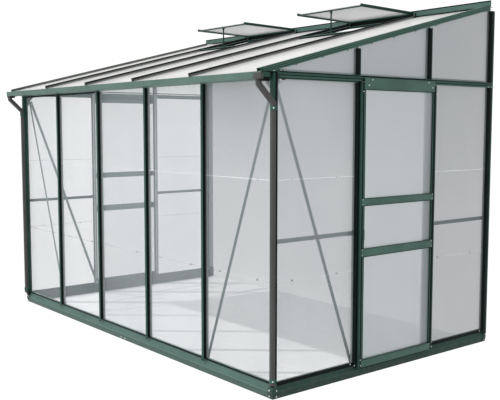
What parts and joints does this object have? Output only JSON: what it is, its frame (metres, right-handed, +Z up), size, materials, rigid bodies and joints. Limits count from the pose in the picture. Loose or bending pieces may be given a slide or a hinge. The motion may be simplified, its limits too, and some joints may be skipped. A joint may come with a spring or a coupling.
{
  "type": "lean-to greenhouse",
  "caption": "Lean-to greenhouse: glazed aluminium bars on a pressed base, single-pitch roof rising to a wall, sliding gable doors, hinged roof vents, gutter with downpipes.",
  "frame": {"origin": "middle of the footprint's bounding box, on the ground under the base", "axes": "+X along the eave towards the near gable, +Y back to the house wall, +Z up"},
  "size_m": [3.2016, 2.0048, 2.253],
  "materials": {
    "green_aluminium": "dark green powder coat on extruded aluminium",
    "pale_green_aluminium": "mid green powder coat on pressed or extruded aluminium",
    "pipe_plastic": "grey moulded plastic",
    "glass": "clear horticultural glass, 4 mm"
  },
  "bodies": {
    "frame": {"base_front_left": "pale_green_aluminium", "base_front_right": "pale_green_aluminium", "base_side_left": "pale_green_aluminium", "base_side_right": "pale_green_aluminium", "brace_front_left": "green_aluminium", "brace_front_right": "green_aluminium", "brace_gable_left": "green_aluminium", "brace_gable_right": "green_aluminium", "corner_post_left": "green_aluminium", "corner_post_right": "green_aluminium", "downpipe_left": "pipe_plastic", "downpipe_right": "pipe_plastic", "eave_gutter": "pale_green_aluminium", "front_bar_1": "green_aluminium", "front_bar_2": "green_aluminium", "front_bar_3": "green_aluminium", "front_bar_4": "green_aluminium", "front_glass_1": "glass", "front_glass_2": "glass", "front_glass_3": "glass", "front_glass_4": "glass", "front_glass_5": "glass", "gable_glass_left_front": "glass", "gable_glass_left_over_door": "glass", "gable_glass_left_rear": "glass", "gable_glass_right_front": "glass", "gable_glass_right_over_door": "glass", "gable_glass_right_rear": "glass", "gable_mid_rail_left_front": "green_aluminium", "gable_mid_rail_left_rear": "green_aluminium", "gable_mid_rail_right_front": "green_aluminium", "gable_mid_rail_right_rear": "green_aluminium", "gable_rail_left": "green_aluminium", "gable_rail_right": "green_aluminium", "gable_upright_left_1": "green_aluminium", "gable_upright_left_2": "green_aluminium", "gable_upright_right_1": "green_aluminium", "gable_upright_right_2": "green_aluminium", "ridge_bar": "pale_green_aluminium", "roof_bar_1": "green_aluminium", "roof_bar_2": "green_aluminium", "roof_bar_3": "green_aluminium", "roof_bar_4": "green_aluminium", "roof_glass_1": "glass", "roof_glass_2": "glass", "roof_glass_3": "glass", "roof_glass_4": "glass", "roof_glass_5": "glass", "verge_bar_left": "green_aluminium", "verge_bar_right": "green_aluminium", "wall_post_left": "green_aluminium", "wall_post_right": "green_aluminium"},
    "door_right": {"door_frame_right": "green_aluminium", "door_glass_right": "glass"},
    "door_left": {"door_frame_left": "green_aluminium", "door_glass_left": "glass"},
    "vent_1": {"vent_sash_1": "green_aluminium"},
    "vent_2": {"vent_sash_2": "green_aluminium"},
    "vent_stay_1": {"vent_stay_1": "green_aluminium"},
    "vent_stay_2": {"vent_stay_2": "green_aluminium"}
  },
  "joints": [
    {"name": "door_right_slide", "type": "slide", "parent": "frame", "child": "door_right", "axis": [0, 1, 0], "range_m": [0, 0.585]},
    {"name": "door_left_slide", "type": "slide", "parent": "frame", "child": "door_left", "axis": [0, 1, 0], "range_m": [0, 0.585]},
    {"name": "vent_1_hinge", "type": "hinge", "parent": "frame", "child": "vent_1", "pos_m": [0.622, 0.94445, 2.2258], "axis": [1, 0, 0], "range_deg": [0, 15.4]},
    {"name": "vent_2_hinge", "type": "hinge", "parent": "frame", "child": "vent_2", "pos_m": [-0.622, 0.94445, 2.2258], "axis": [1, 0, 0], "range_deg": [0, 15.4]},
    {"name": "vent_stay_1_pivot", "type": "hinge", "parent": "vent_1", "child": "vent_stay_1", "pos_m": [0.622, 0.44443, 2.23029], "axis": [1, 0, 0], "range_deg": [-15.4, 0]},
    {"name": "vent_stay_2_pivot", "type": "hinge", "parent": "vent_2", "child": "vent_stay_2", "pos_m": [-0.622, 0.44443, 2.23029], "axis": [1, 0, 0], "range_deg": [-15.4, 0]}
  ],
  "couplings": [
    {"joint": "vent_stay_1_pivot", "follows": "vent_1_hinge", "ratio": -1},
    {"joint": "vent_stay_2_pivot", "follows": "vent_2_hinge", "ratio": -1}
  ]
}
